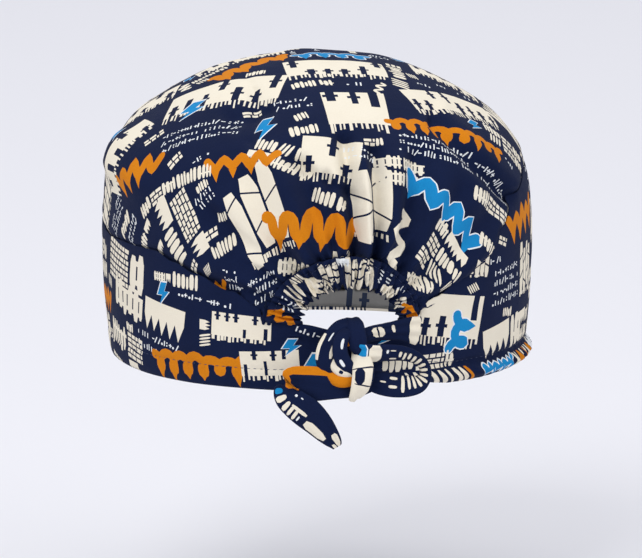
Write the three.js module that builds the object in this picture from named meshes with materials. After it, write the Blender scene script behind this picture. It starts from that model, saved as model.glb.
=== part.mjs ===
// Surgical scrub cap, tied at the back. Millimetres, +Z up, +Y towards the wearer's forehead.
// The knot and the half-moon opening are at -Y. The origin is the centre of the rim, where the head sits.
import * as THREE from 'three';

// ---- driving dimensions ----
const WALL = 1.5;              // cloth wall
const HEM_WALL = 2.4;          // wall where the hem is turned up
const HEM_HEIGHT = 11;         // height of the turned hem
const GAP = 0.3;               // gap left between neighbouring pieces
const ROUNDNESS = 2.15;        // exponent of the plan outline, 2 is an ellipse
const BAND_LEFT_END_DEG = -4;  // where the band runs in behind the knot, left of the back
const BAND_RIGHT_END_DEG = 9;  // the same on the right
const CROWN_ROWS = 9;
const CASING_STEPS = 64;
const CASING_SIDES = 8;
const RUFFLES = 16;            // ruched bumps along the casing
const RUFFLE_DEPTH = 0.9;
const CASING_THICKNESS = 4.2;

// Sections of the cap from rim to apex.
const PROFILE = [
  // height, half width, depth to the back, depth to the front
  [0, 90.5, 96.5, 98],
  [14, 92.5, 99, 99.5],
  [38, 94, 101, 100.5],
  [62, 94, 102.5, 100.5],
  [80, 92.5, 101.5, 98.5],
  [93, 88.5, 97, 94],
  [104, 80.5, 87.5, 85.5],
  [113, 68.5, 73.5, 72.5],
  [121, 54, 57.5, 57],
  [127.5, 37, 39, 39],
  [131.7, 18.5, 19.5, 19.5],
  [133.3, 0.01, 0.01, 0.01],
];

// Height of the seam between band and crown. 0 degrees is the back, 180 the front.
const SEAM = [
  // degrees from the back, height on the left, height on the right
  [0, 28, 28],
  [12, 30.6, 30.6],
  [18.2, 31, 31],
  [19.2, 31, 36],
  [21.4, 31, 39],
  [22.6, 38, 40],
  [30, 44, 46.5],
  [40, 50, 55],
  [47, 54, 66],
  [54, 57.5, 78],
  [70, 57, 85],
  [84, 56, 87],
  [110, 60, 86],
  [145, 74, 82],
  [180, 80, 80],
];

// Height of the hem near the knot, which draws it up.
const HEM = [
  // degrees from the back, height on the left, height on the right
  [0, 4, 6],
  [6, 2.5, 5],
  [12, 0.8, 3.6],
  [20, 0, 1.6],
  [30, 0, 0],
  [180, 0, 0],
];

// Half-moon opening and the ruched casing around it, as half ellipses about a point at the back.
const OPENING = { x: 0.5, z: 31.5, halfWidth: 21.5, height: 15 };
const CASING = { leftWidth: 36, rightWidth: 31, height: 29 };
const CASING_CLEARANCE = 0.7;  // between the casing's outer edge and the crown

// Folds of the crown. A fold runs straight between its two ends and fades past them.
const FOLDS = [
  // x low, height low, x high, height high, depth (negative stands out), width
  [3.5, 58, 1, 108, 3.4, 4.2],
  [12.5, 58, 13.5, 104, 2.8, 3.6],
  [8, 62, 7, 100, -1.6, 3.2],
  [-12, 60, -20, 100, 2.2, 4.5],
  [-24, 54, -42, 92, 2.4, 6.5],
  [-17, 62, -30, 98, -1.8, 5],
  [24, 54, 33, 100, 2.4, 4.5],
  [32, 48, 52, 84, 1.8, 5.5],
  [18.5, 60, 23, 100, -1.5, 4],
  [77, 78, 44, 114, 2.6, 4.5],
  [-46, 114, -30, 119, 2.4, 4.5],
  [-89, 88, -88, 97, -2.6, 8],
];

// Ribbons of tie cloth. Each row is a section: its centre, the way across it, its width and thickness.
const TAIL = [
  // x, y, z, across x, across y, across z, width, thickness
  [0.6, -116.8, 8, -0.05, 0.1, 1.0, 10, 2.2],
  [-5, -117.6, 7.6, 0, 0.12, 1.0, 12.5, 2.2],
  [-12, -117.4, 7.6, 0.05, 0.12, 1.0, 14, 2.2],
  [-18.5, -116.6, 8, 0.1, 0.1, 1.0, 15, 2.2],
  [-24.2, -116.4, 8, 0.3, 0.1, 0.95, 14.8, 2.4],
  [-28.4, -116.8, 6.6, 0.65, 0.05, 0.76, 12.8, 2.6],
  [-29.3, -119.4, 2.4, 0.9, 0, 0.45, 12, 2.6],
  [-26, -120.8, -1.2, 0.87, 0, 0.5, 13, 2.4],
  [-21.4, -120.6, -4.8, 0.86, 0, 0.52, 13.8, 2.2],
  [-16.6, -119.8, -9.4, 0.87, 0, 0.5, 12.4, 2.2],
  [-12.3, -119, -14.4, 0.88, 0, 0.48, 10, 2.2],
  [-9, -118.4, -18.4, 0.9, 0, 0.44, 7, 2.2],
  [-7.6, -118.2, -20.6, 0.9, 0, 0.44, 4.5, 2],
];

const LOOP = [
  // x, y, z, across x, across y, across z, width, thickness
  [10.4, -110.2, 20.2, 0, -0.3, 0.95, 8.5, 2.8],
  [15, -111, 21.4, 0, -0.4, 0.92, 9, 2.6],
  [22, -111.6, 21.8, 0, -0.5, 0.87, 8.6, 2.6],
  [29, -112.2, 20.2, 0.25, -0.65, 0.7, 8, 2.6],
  [34, -112.6, 16, 0.55, -0.8, 0.25, 7.5, 2.6],
  [34.4, -112.8, 11, 0.5, -0.85, -0.2, 8, 2.6],
  [30.5, -113.2, 6.4, 0.2, -0.6, -0.75, 9.5, 2.6],
  [23, -113.6, 4.6, 0, -0.4, -0.92, 10.5, 2.6],
  [16.5, -113.4, 5.4, 0, -0.3, -0.95, 10.5, 2.6],
  [11.4, -112.8, 6.6, 0, -0.25, -0.97, 9.5, 2.6],
];

const WRAP = [
  // x, y, z, across x, across y, across z, width, thickness
  [2.2, -114.2, 31, 0.92, 0, 0.38, 8, 2.6],
  [3.2, -118.6, 26, 0.95, 0, 0.3, 9.6, 2.8],
  [4, -121.4, 18.5, 0.97, 0, 0.22, 10.6, 3],
  [4.8, -122, 10.5, 0.97, 0, 0.2, 10.6, 3],
  [5.6, -120, 4.2, 0.97, 0, 0.18, 10, 3],
  [6, -115.6, 1.2, 0.97, 0, 0.15, 8.5, 2.8],
];

const ROOT = [
  // x, y, z, across x, across y, across z, width, thickness
  [25, -103.6, 26.5, -0.1, 0.1, 1.0, 12.5, 2.2],
  [19.5, -104.4, 27.8, -0.1, 0.1, 1.0, 12.5, 2.6],
  [14.5, -106, 28.8, -0.15, 0.25, 0.95, 11.5, 3],
  [9.6, -107.6, 29.4, -0.15, 0.3, 0.93, 10.5, 3.6],
];

// Body of the knot: a rounded lump whose wraps are the grooves of its surface.
const KNOT = { x: -3.6, y: -107.2, z: 18.4, halfWidth: 11.2, halfDepth: 7.6, halfHeight: 12.8, tilt: 0.6 };
const KNOT_GROOVE = 0.9;
const KNOT_WRAPS = 3;

// ---- reading of the tables ----
const rad = (deg) => (deg * Math.PI) / 180;
const smooth = (t) => t * t * (3 - 2 * t);
const clamp01 = (t) => Math.min(1, Math.max(0, t));

// Catmull-Rom value of one column at row position u, a whole number being a row.
function atRow(table, column, u) {
  const last = table.length - 1;
  const i = Math.min(last - 1, Math.max(0, Math.floor(u)));
  const f = u - i;
  const p = (k) => table[Math.min(last, Math.max(0, k))][column];
  const [a, b, c, d] = [p(i - 1), p(i), p(i + 1), p(i + 2)];
  return b + 0.5 * f * (c - a + f * (2 * a - 5 * b + 4 * c - d + f * (3 * (b - c) + d - a)));
}

// Straight value of one column where the first column has the value x.
function atValue(table, column, x) {
  let i = 0;
  while (i < table.length - 2 && table[i + 1][0] < x) i += 1;
  const f = clamp01((x - table[i][0]) / (table[i + 1][0] - table[i][0]));
  return table[i][column] + (table[i + 1][column] - table[i][column]) * smooth(f);
}

// Row position on the profile where it reaches a height.
function rowAtHeight(z) {
  let low = 0;
  let high = PROFILE.length - 1;
  for (let k = 0; k < 40; k += 1) {
    const mid = (low + high) / 2;
    if (atRow(PROFILE, 0, mid) < z) low = mid;
    else high = mid;
  }
  return low;
}

// Left and right columns of SEAM and HEM, as one height per angle. Angles run from -180 to 180.
const sideHeight = (table, deg) => atValue(table, deg < 0 ? 1 : 2, Math.abs(deg));

// ---- the cap's outer surface ----
function plainPoint(deg, row) {
  const s = Math.sin(rad(deg));
  const c = Math.cos(rad(deg));
  const width = Math.max(0.01, atRow(PROFILE, 1, row));
  const depth = Math.max(0.01, atRow(PROFILE, c > 0 ? 2 : 3, row));
  const sum = (Math.abs(s) / width) ** ROUNDNESS + (Math.abs(c) / depth) ** ROUNDNESS;
  const r = sum ** (-1 / ROUNDNESS);
  return new THREE.Vector3(r * s, -r * c, atRow(PROFILE, 0, row));
}

function foldDepth(p) {
  let sum = 0;
  for (const [x0, z0, x1, z1, depth, width] of FOLDS) {
    const along = ((p.x - x0) * (x1 - x0) + (p.z - z0) * (z1 - z0)) / ((x1 - x0) ** 2 + (z1 - z0) ** 2);
    const t = clamp01(along);
    const off = Math.hypot(p.x - x0 - t * (x1 - x0), p.z - z0 - t * (z1 - z0));
    sum += depth * Math.exp(-((off / width) ** 2));
  }
  return sum * smooth(clamp01((20 - p.y) / 25));
}

function capPoint(deg, row) {
  const p = plainPoint(deg, row);
  const inward = new THREE.Vector3(-p.x, -p.y, 70 - Math.max(70, p.z) * 1.0).normalize();
  return p.addScaledVector(inward, foldDepth(p));
}

function capNormal(deg, row) {
  const top = PROFILE.length - 1;
  const r0 = Math.min(row, top - 0.06);
  const across = capPoint(deg + 0.5, r0).sub(capPoint(deg - 0.5, r0));
  const up = capPoint(deg, r0 + 0.05).sub(capPoint(deg, Math.max(0, r0 - 0.05)));
  return across.cross(up).normalize();
}

// Angle of the surface point at a given x and height on the back.
function degAtX(x, row) {
  let deg = 0;
  for (let k = 0; k < 12; k += 1) {
    const p = plainPoint(deg, row);
    deg = (Math.asin(Math.max(-1, Math.min(1, x / Math.hypot(p.x, p.y)))) * 180) / Math.PI;
  }
  return deg;
}

// Upper edge of the casing at an angle, or -1 beside it.
function casingTop(deg) {
  let z = CASING.height + OPENING.z;
  for (let k = 0; k < 6; k += 1) {
    const x = plainPoint(deg, rowAtHeight(z)).x - OPENING.x;
    const width = x < 0 ? CASING.leftWidth : CASING.rightWidth;
    if (Math.abs(x) >= width) return -1;
    z = OPENING.z + CASING.height * Math.sqrt(1 - (x / width) ** 2);
  }
  return z;
}

const crownEdge = (deg) => Math.max(sideHeight(SEAM, deg), casingTop(deg)) + GAP / 2;

// ---- closed bodies from grids ----
class Body {
  constructor() {
    this.points = [];
    this.faces = [];
  }

  add(p) {
    this.points.push(p.x, p.y, p.z);
    return this.points.length / 3 - 1;
  }

  quad(a, b, c, d) {
    this.faces.push(a, b, c, a, c, d);
  }

  mesh(name, colour) {
    const geometry = new THREE.BufferGeometry();
    geometry.setAttribute('position', new THREE.Float32BufferAttribute(this.points, 3));
    geometry.setIndex(this.faces);
    geometry.computeVertexNormals();
    const material = new THREE.MeshStandardMaterial({ color: colour, roughness: 0.85, metalness: 0 });
    material.name = name;
    const mesh = new THREE.Mesh(geometry, material);
    mesh.name = name;
    return mesh;
  }
}

// Angles from one end to the other, closer together at the back where the gathers are.
// Crown and band share them, so that their edges run side by side.
function anglesBetween(from, to) {
  const list = [from];
  let deg = from;
  while (deg < to - 0.01) {
    const turn = Math.abs(deg > 180 ? deg - 360 : deg);
    deg = Math.min(to, deg + (turn < 28 ? 1.5 : turn < 62 ? 3 : 7.5));
    list.push(deg);
  }
  return list;
}

function crownPanel() {
  const body = new Body();
  const angles = anglesBetween(BAND_RIGHT_END_DEG, 360 + BAND_RIGHT_END_DEG).slice(0, -1);
  const top = PROFILE.length - 1;
  const outer = [];
  const inner = [];
  for (const turn of angles) {
    const deg = turn > 180 ? turn - 360 : turn;
    const edge = rowAtHeight(crownEdge(deg));
    const outerLine = [];
    const innerLine = [];
    for (let j = 0; j < CROWN_ROWS; j += 1) {
      const row = edge + (top - edge) * (j / CROWN_ROWS);
      const p = capPoint(deg, row);
      const normal = capNormal(deg, row);
      if (j === 0) normal.setZ(0).normalize();
      outerLine.push(body.add(p));
      innerLine.push(body.add(p.clone().addScaledVector(normal, -WALL)));
    }
    outer.push(outerLine);
    inner.push(innerLine);
  }
  const apex = capPoint(0, top);
  const outerApex = body.add(apex);
  const innerApex = body.add(new THREE.Vector3(apex.x, apex.y, apex.z - WALL));
  for (let i = 0; i < angles.length; i += 1) {
    const n = (i + 1) % angles.length;
    for (let j = 0; j < CROWN_ROWS - 1; j += 1) {
      body.quad(outer[i][j], outer[n][j], outer[n][j + 1], outer[i][j + 1]);
      body.quad(inner[n][j], inner[i][j], inner[i][j + 1], inner[n][j + 1]);
    }
    body.quad(inner[i][0], inner[n][0], outer[n][0], outer[i][0]);
    body.faces.push(outer[i][CROWN_ROWS - 1], outer[n][CROWN_ROWS - 1], outerApex);
    body.faces.push(inner[n][CROWN_ROWS - 1], inner[i][CROWN_ROWS - 1], innerApex);
  }
  return body.mesh('crown_panel', '#12224d');
}

// Heights of the band's rows: two in the turned hem, the rest shared out up to the seam.
function bandHeights(deg) {
  const hem = sideHeight(HEM, deg);
  const top = sideHeight(SEAM, deg) - GAP / 2;
  const fold = Math.min(hem + HEM_HEIGHT, hem + (top - hem) * 0.5);
  const rows = [hem, hem + 2.5, fold];
  for (let k = 1; k <= 4; k += 1) rows.push(fold + ((top - fold) * k) / 4);
  return { rows, fold };
}

function sideBand() {
  const body = new Body();
  const angles = anglesBetween(BAND_RIGHT_END_DEG, 360 + BAND_LEFT_END_DEG);
  const lines = [];
  for (const turn of angles) {
    const deg = turn > 180 ? turn - 360 : turn;
    const { rows, fold } = bandHeights(deg);
    const outer = [];
    const inner = [];
    for (const z of rows) {
      const row = rowAtHeight(z);
      const p = plainPoint(deg, row);
      const wall = z <= fold + 0.01 ? HEM_WALL : WALL;
      const normal = capNormal(deg, row).setZ(0).normalize();
      const bulge = z <= fold + 0.01 && z > rows[0] + 0.01 ? 0.6 : 0;
      outer.push(body.add(p.clone().addScaledVector(normal, bulge)));
      inner.push(body.add(p.clone().addScaledVector(normal, -wall)));
    }
    lines.push({ outer, inner });
  }
  const last = lines[0].outer.length - 1;
  for (let i = 0; i < lines.length - 1; i += 1) {
    const a = lines[i];
    const b = lines[i + 1];
    for (let j = 0; j < last; j += 1) {
      body.quad(a.outer[j], b.outer[j], b.outer[j + 1], a.outer[j + 1]);
      body.quad(b.inner[j], a.inner[j], a.inner[j + 1], b.inner[j + 1]);
    }
    body.quad(a.inner[0], b.inner[0], b.outer[0], a.outer[0]);
    body.quad(a.outer[last], b.outer[last], b.inner[last], a.inner[last]);
  }
  const start = lines[0];
  const end = lines[lines.length - 1];
  for (let j = 0; j < last; j += 1) {
    body.quad(start.inner[j], start.outer[j], start.outer[j + 1], start.inner[j + 1]);
    body.quad(end.outer[j], end.inner[j], end.inner[j + 1], end.outer[j + 1]);
  }
  return body.mesh('side_band', '#14244f');
}

// Closed tube from rings of points, with a fan on each end.
function tube(rings) {
  const body = new Body();
  const index = rings.map((ring) => ring.map((p) => body.add(p)));
  const sides = rings[0].length;
  for (let i = 0; i < rings.length - 1; i += 1) {
    for (let k = 0; k < sides; k += 1) {
      const n = (k + 1) % sides;
      body.quad(index[i][k], index[i][n], index[i + 1][n], index[i + 1][k]);
    }
  }
  for (const [ring, flip] of [[0, true], [rings.length - 1, false]]) {
    const centre = new THREE.Vector3();
    rings[ring].forEach((p) => centre.add(p));
    const middle = body.add(centre.divideScalar(sides));
    for (let k = 0; k < sides; k += 1) {
      const n = (k + 1) % sides;
      if (flip) body.faces.push(index[ring][n], index[ring][k], middle);
      else body.faces.push(index[ring][k], index[ring][n], middle);
    }
  }
  return body;
}

// The casing follows the opening's arch. Its section is a flattened oval with ruched bumps.
function elasticCasing() {
  const rings = [];
  for (let i = 0; i <= CASING_STEPS; i += 1) {
    const t = i / CASING_STEPS;
    const turn = rad(1 + 178 * t);
    const width = turn > Math.PI / 2 ? CASING.leftWidth : CASING.rightWidth;
    const inX = OPENING.halfWidth * Math.cos(turn);
    const inZ = OPENING.height * Math.sin(turn);
    const outX = (width - CASING_CLEARANCE) * Math.cos(turn);
    const outZ = (CASING.height - CASING_CLEARANCE) * Math.sin(turn);
    const x = OPENING.x + (inX + outX) / 2;
    const z = OPENING.z + (inZ + outZ) / 2;
    const across = new THREE.Vector3(outX - inX, 0, outZ - inZ);
    const half = across.length() / 2 - GAP;
    across.normalize();
    const ruffle = Math.sin(t * RUFFLES * 2 * Math.PI);
    const ring = [];
    for (let k = 0; k < CASING_SIDES; k += 1) {
      const a = (-2 * Math.PI * k) / CASING_SIDES;
      const u = half * Math.cos(a);
      const row = rowAtHeight(z + across.z * u);
      const deg = degAtX(x + across.x * u, row);
      const out = (CASING_THICKNESS / 2) * Math.sin(a) + (Math.sin(a) > 0 ? ruffle * RUFFLE_DEPTH : 0);
      const normal = capNormal(deg, row).setZ(0).normalize();
      const p = plainPoint(deg, row).addScaledVector(normal, out - 0.4);
      ring.push(p);
    }
    rings.push(ring);
  }
  return tube(rings).mesh('elastic_casing', '#1a2a55');
}

// Strap of tie cloth: a flattened oval section carried along a table of sections.
function ribbon(name, table, colour, stepsPerRow = 4, sides = 10) {
  const count = (table.length - 1) * stepsPerRow;
  const centre = (u) => new THREE.Vector3(atRow(table, 0, u), atRow(table, 1, u), atRow(table, 2, u));
  const rings = [];
  for (let i = 0; i <= count; i += 1) {
    const u = i / stepsPerRow;
    const middle = centre(u);
    const along = centre(Math.min(u + 0.05, table.length - 1)).sub(centre(Math.max(u - 0.05, 0))).normalize();
    const across = new THREE.Vector3(atRow(table, 3, u), atRow(table, 4, u), atRow(table, 5, u));
    across.addScaledVector(along, -across.dot(along)).normalize();
    const out = along.clone().cross(across).normalize();
    const ring = [];
    for (let k = 0; k < sides; k += 1) {
      const a = (2 * Math.PI * k) / sides;
      const w = (atRow(table, 6, u) / 2) * Math.sign(Math.cos(a)) * Math.abs(Math.cos(a)) ** 0.7;
      const h = (atRow(table, 7, u) / 2) * Math.sign(Math.sin(a)) * Math.abs(Math.sin(a)) ** 0.7;
      ring.push(middle.clone().addScaledVector(across, w).addScaledVector(out, h));
    }
    rings.push(ring);
  }
  return tube(rings).mesh(name, colour);
}

function knotBody() {
  const rings = [];
  const steps = 16;
  const sides = 24;
  for (let i = 1; i < steps; i += 1) {
    const polar = (Math.PI * i) / steps;
    const ring = [];
    for (let k = 0; k < sides; k += 1) {
      const turn = (2 * Math.PI * k) / sides;
      const groove = 1 - (KNOT_GROOVE / KNOT.halfWidth) * 0.5 * (1 + Math.cos(KNOT_WRAPS * (polar * 2 + turn)));
      const side = Math.sin(polar) ** 0.8 * groove;
      const up = -Math.cos(polar) * KNOT.halfHeight;
      ring.push(new THREE.Vector3(
        KNOT.x + KNOT.halfWidth * side * Math.cos(turn) + KNOT.tilt * up * -0.3,
        KNOT.y + KNOT.halfDepth * side * Math.sin(turn),
        KNOT.z + up,
      ));
    }
    rings.push(ring);
  }
  return tube(rings).mesh('knot_body', '#14244f');
}

const cap = new THREE.Group();
cap.name = 'scrub_cap';
cap.add(crownPanel());
cap.add(sideBand());
cap.add(elasticCasing());
cap.add(knotBody());
cap.add(ribbon('knot_wrap', WRAP, '#e6ddc8'));
cap.add(ribbon('right_tie_root', ROOT, '#1a2a55'));
cap.add(ribbon('right_tie_loop', LOOP, '#1a2a55', 4, 10));
cap.add(ribbon('left_tie_tail', TAIL, '#14244f'));

export default cap;
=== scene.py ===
"""Surgical scrub cap, tied at the back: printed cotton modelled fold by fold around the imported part.
Millimetres in the tables, metres in the scene. +Y is the wearer's forehead, the knot is at -Y."""

import math
import random

import bpy
import numpy as np
from mathutils import Matrix, Vector
from mathutils.geometry import delaunay_2d_cdt


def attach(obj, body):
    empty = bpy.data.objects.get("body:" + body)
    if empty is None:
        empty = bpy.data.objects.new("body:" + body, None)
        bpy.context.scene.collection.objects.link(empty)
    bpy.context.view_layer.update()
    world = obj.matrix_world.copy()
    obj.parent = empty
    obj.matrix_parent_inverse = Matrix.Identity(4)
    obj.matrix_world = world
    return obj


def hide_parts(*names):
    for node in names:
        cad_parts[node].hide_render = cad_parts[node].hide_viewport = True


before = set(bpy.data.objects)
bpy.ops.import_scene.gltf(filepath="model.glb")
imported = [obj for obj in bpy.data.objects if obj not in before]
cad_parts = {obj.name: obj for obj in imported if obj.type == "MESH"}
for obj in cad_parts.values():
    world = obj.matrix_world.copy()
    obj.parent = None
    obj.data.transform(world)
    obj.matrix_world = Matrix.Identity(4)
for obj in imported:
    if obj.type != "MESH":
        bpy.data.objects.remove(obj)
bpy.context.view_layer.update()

MM = 0.001
CLOTH = 0.6            # thickness of the cloth
ROUNDNESS = 2.15       # exponent of the plan outline
DEG_MM = 1.69          # cloth of the band per degree round the head, in mm
HEM_WIDTH = 10.5       # height of the turned-up hem
HEM_STITCHES = 9.6     # height of its stitches
FOLD_SCALE = 2.1       # depth of the folds for each unit in their table
SEAM_ALLOWANCE = 3.0   # cloth of the crown behind the band and the casing
EDGE_STEP = 1.6        # longest side of an outline
GROUND, CREAM, ORANGE, BLUE, WHITE = range(5)

# ---- the cap's form
# height, half width, depth to the back, depth to the front
PROFILE = [
    (0, 90.5, 96.5, 98),
    (14, 92.5, 99, 99.5),
    (38, 94, 101, 100.5),
    (62, 94, 102.5, 100.5),
    (80, 92.5, 101.5, 98.5),
    (93, 88.5, 97, 94),
    (104, 80.5, 87.5, 85.5),
    (113, 68.5, 73.5, 72.5),
    (121, 54, 57.5, 57),
    (127.5, 37, 39, 39),
    (131.7, 18.5, 19.5, 19.5),
    (133.3, 0.01, 0.01, 0.01),
]
# degrees from the back, height of the crown seam on the left, on the right
SEAM = [
    (0, 26.5, 27),
    (12, 30.6, 30.6),
    (18.2, 31, 31),
    (19.2, 31, 36),
    (21.4, 31, 39),
    (22.6, 38, 40),
    (30, 44, 46.5),
    (40, 50, 55),
    (47, 54, 66),
    (54, 57.5, 78),
    (70, 57, 85),
    (84, 56, 87),
    (110, 60, 86),
    (145, 74, 82),
    (180, 80, 80),
]
# degrees from the back, height of the hem on the left, on the right
HEM = [(0, 4, 6), (6, 2.5, 5), (12, 0.8, 3.6), (20, 0, 1.6), (30, 0, 0), (180, 0, 0)]
BAND_FROM, BAND_TO = 1, 359
OPENING = dict(x=0.5, z=31.5, width=21.5, height=15)
CASING = dict(left=36, right=31, height=29)
# folds of the crown: x and height of the low end, of the high end, depth (negative stands out), width
FOLDS = [
    (3.5, 58, 1, 108, 3.6, 3.6),
    (12.5, 58, 13.5, 104, 3.0, 3.0),
    (8, 62, 7, 100, -1.8, 3.0),
    (-12, 60, -20, 100, 2.2, 4.2),
    (-24, 54, -42, 92, 2.4, 6.5),
    (-17, 62, -30, 98, -1.8, 5),
    (24, 54, 33, 100, 2.4, 4.2),
    (32, 48, 52, 84, 1.8, 5.5),
    (18.5, 60, 23, 100, -1.5, 4),
    (77, 78, 44, 112, 2.4, 3.0),
    (80, 82, 49, 114, -0.9, 4.0),
    (-46, 114, -30, 119, 2.2, 3.2),
    (-40, 108, -34, 124, 1.2, 2.4),
    (-89, 88, -88, 97, -2.6, 8),
    (-24, 101, 5, 86, 1.6, 2.6),
    (-6, 66, -9, 96, 1.2, 2.2),
    (-34, 50, -60, 78, 1.2, 4.0),
    (41, 50, 68, 74, 1.0, 4.0),
    (28, 60, 41, 100, 1.0, 2.4),
]


def at_row(table, column, u):
    """Catmull-Rom value of a column at row position u."""
    values = np.array([row[column] for row in table], float)
    last = len(values) - 1
    u = np.asarray(u, float)
    i = np.clip(np.floor(u).astype(int), 0, last - 1)
    f = u - i
    a, b = values[np.clip(i - 1, 0, last)], values[i]
    c, d = values[np.clip(i + 1, 0, last)], values[np.clip(i + 2, 0, last)]
    return b + 0.5 * f * (c - a + f * (2 * a - 5 * b + 4 * c - d + f * (3 * (b - c) + d - a)))


def columns(*values):
    return np.stack(values, -1)


def smooth(t):
    t = np.clip(t, 0, 1)
    return t * t * (3 - 2 * t)


def ridge(x, at, width):
    """A bell-shaped rise of height 1."""
    return np.exp(-(((x - at) / width) ** 2))


def unit(vectors):
    return vectors / np.maximum(np.linalg.norm(vectors, axis=1), 1e-9)[:, None]


def from_back(turn):
    """Degrees from the back, below zero on the left, from degrees all the way round."""
    return np.where(turn > 180, turn - 360, turn)


def side_height(table, deg):
    """Eased height from SEAM or HEM at an angle, the left column for angles below zero."""
    turn = np.abs(deg)
    keys = np.array([row[0] for row in table], float)
    i = np.clip(np.searchsorted(keys, turn, side="right") - 1, 0, len(keys) - 2)
    f = smooth((turn - keys[i]) / (keys[i + 1] - keys[i]))
    values = np.array(table, float)
    side = np.where(np.asarray(deg) < 0, 1, 2)
    low, high = values[i, side], values[i + 1, side]
    return low + (high - low) * f


TOP = len(PROFILE) - 1
ROWS = np.linspace(0, TOP, 1600)
HEIGHTS = at_row(PROFILE, 0, ROWS)
RADII = (at_row(PROFILE, 1, ROWS) + at_row(PROFILE, 2, ROWS)) / 2
LENGTHS = np.hypot(np.diff(HEIGHTS), np.diff(RADII))
RHO = np.concatenate([np.cumsum(LENGTHS[::-1])[::-1], [0]])  # cloth from the apex down to each row


def row_at_height(z):
    return np.interp(z, HEIGHTS, ROWS)


def row_at_rho(rho):
    return np.interp(-rho, -RHO, ROWS)


def plain_point(deg, row):
    s, c = np.sin(np.radians(deg)), np.cos(np.radians(deg))
    width = np.maximum(0.01, at_row(PROFILE, 1, row))
    depth = np.maximum(0.01, np.where(c > 0, at_row(PROFILE, 2, row), at_row(PROFILE, 3, row)))
    r = ((np.abs(s) / width) ** ROUNDNESS + (np.abs(c) / depth) ** ROUNDNESS) ** (-1 / ROUNDNESS)
    return columns(r * s, -r * c, at_row(PROFILE, 0, row))


def casing_top(deg):
    """Height of the casing's outer edge at an angle, -1 beside it."""
    z = np.full(np.shape(deg), OPENING["z"] + CASING["height"])
    beside = np.zeros(np.shape(deg), bool)
    for _ in range(8):
        x = plain_point(deg, row_at_height(z))[..., 0] - OPENING["x"]
        width = np.where(x < 0, CASING["left"], CASING["right"])
        beside = (np.abs(x) >= width) | (np.abs(deg) > 60)
        z = OPENING["z"] + CASING["height"] * np.sqrt(np.clip(1 - (x / width) ** 2, 0, 1))
    return np.where(beside, -1, z)


def crown_edge(deg):
    return np.maximum(side_height(SEAM, deg), casing_top(deg))


def ripple(p, scale, seed, bands=7):
    """Smooth, irregular, repeatable noise of about unit size at points in mm."""
    rng = np.random.default_rng(seed)
    total = np.zeros(len(p))
    warp = np.sin(p @ rng.normal(0, 1 / (2.3 * scale), (3, 3)) + rng.uniform(0, 6, 3)) * scale * 0.5
    q = p + warp
    for _ in range(bands):
        k = rng.normal(0, 1, 3)
        k *= rng.uniform(0.6, 1.5) * 2 * math.pi / (4 * scale) / np.linalg.norm(k)
        total += np.sin(q @ k + rng.uniform(0, 6.28))
    return total / math.sqrt(bands)


def at_back(p):
    """1 at the back, fading to 0 towards the front."""
    return smooth((20 - p[:, 1]) / 25)


def fold_depth(p):
    total = np.zeros(len(p))
    for x0, z0, x1, z1, depth, width in FOLDS:
        dx, dz = x1 - x0, z1 - z0
        t = np.clip(((p[:, 0] - x0) * dx + (p[:, 2] - z0) * dz) / (dx * dx + dz * dz), 0, 1)
        off = np.hypot(p[:, 0] - x0 - t * dx, p[:, 2] - z0 - t * dz)
        total += depth * ridge(off, 0, width)
    return total * at_back(p)


def around_opening(p):
    """Angle round the opening's middle and distance in mm outside the casing's edge."""
    x, z = p[:, 0] - OPENING["x"], p[:, 2] - OPENING["z"]
    width = np.where(x < 0, CASING["left"], CASING["right"])
    size = np.hypot(x / width, z / CASING["height"])
    return np.arctan2(z / CASING["height"], x / width), (size - 1) * 31


def ruche(turn, count, seed):
    """Uneven gathers round the opening, as a profile from -1 to 1 with narrow valleys."""
    phase = count * turn + 0.9 * np.sin(3.1 * turn + seed) + 0.6 * np.sin(7.3 * turn + 2 * seed)
    size = 0.72 + 0.28 * np.sin(2.7 * phase / 3 + 5 * turn + seed)
    return size * (1 - 2 * np.abs(np.sin(phase / 2)) ** 1.6)


def gather_depth(p):
    turn, off = around_opening(p)
    near = at_back(p) * smooth((p[:, 2] - 24) / 10) * (p[:, 1] < 0)
    tight = 1.45 * ruche(turn, 64, 1.0) * np.exp(-np.maximum(off, 0) / 6)
    middle = 2.2 * ruche(turn, 25, 2.2) * ridge(off, 8, 14)
    wide = 2.3 * ruche(turn, 11, 3.9) * ridge(off, 22, 24)
    return near * (tight + middle + wide)


def inward(p):
    """Level towards the middle of the head, and turning down over the top."""
    return unit(columns(-p[:, 0], -p[:, 1], 70 - np.maximum(70, p[:, 2])))


def outward(p):
    """Level away from the middle of the head."""
    return unit(p * (1, 1, 0))


def crown_surface(uv):
    """The crown's cloth is laid out flat from the apex: distance is cloth length, direction is the angle."""
    deg = np.degrees(np.arctan2(uv[:, 0], -uv[:, 1]))
    rho = np.hypot(uv[:, 0], uv[:, 1])
    p = plain_point(deg, row_at_rho(rho))
    past_edge = p[:, 2] - crown_edge(deg)
    above, below = np.maximum(past_edge, 0), np.maximum(-past_edge, 0)
    depth = FOLD_SCALE * fold_depth(p) + gather_depth(p)
    depth += 0.28 * ripple(p, 9, 5) + 0.1 * ripple(p, 3.6, 6)
    pucker = ripple(columns(deg * 1.7, 0 * deg, 0.35 * p[:, 2]), 2.4, 9)
    seam = (0.95 + 0.25 * pucker) * np.exp(-above / 1.1) - 0.3 * ridge(above, 4, 3) + smooth(below / 0.6)
    gathered = 0.5 * np.exp(-above / 1.5) + 2.4 * smooth(below / 1.2)
    depth += np.where(casing_top(deg) < 0, seam, gathered)
    return p + inward(p) * depth[:, None]


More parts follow.
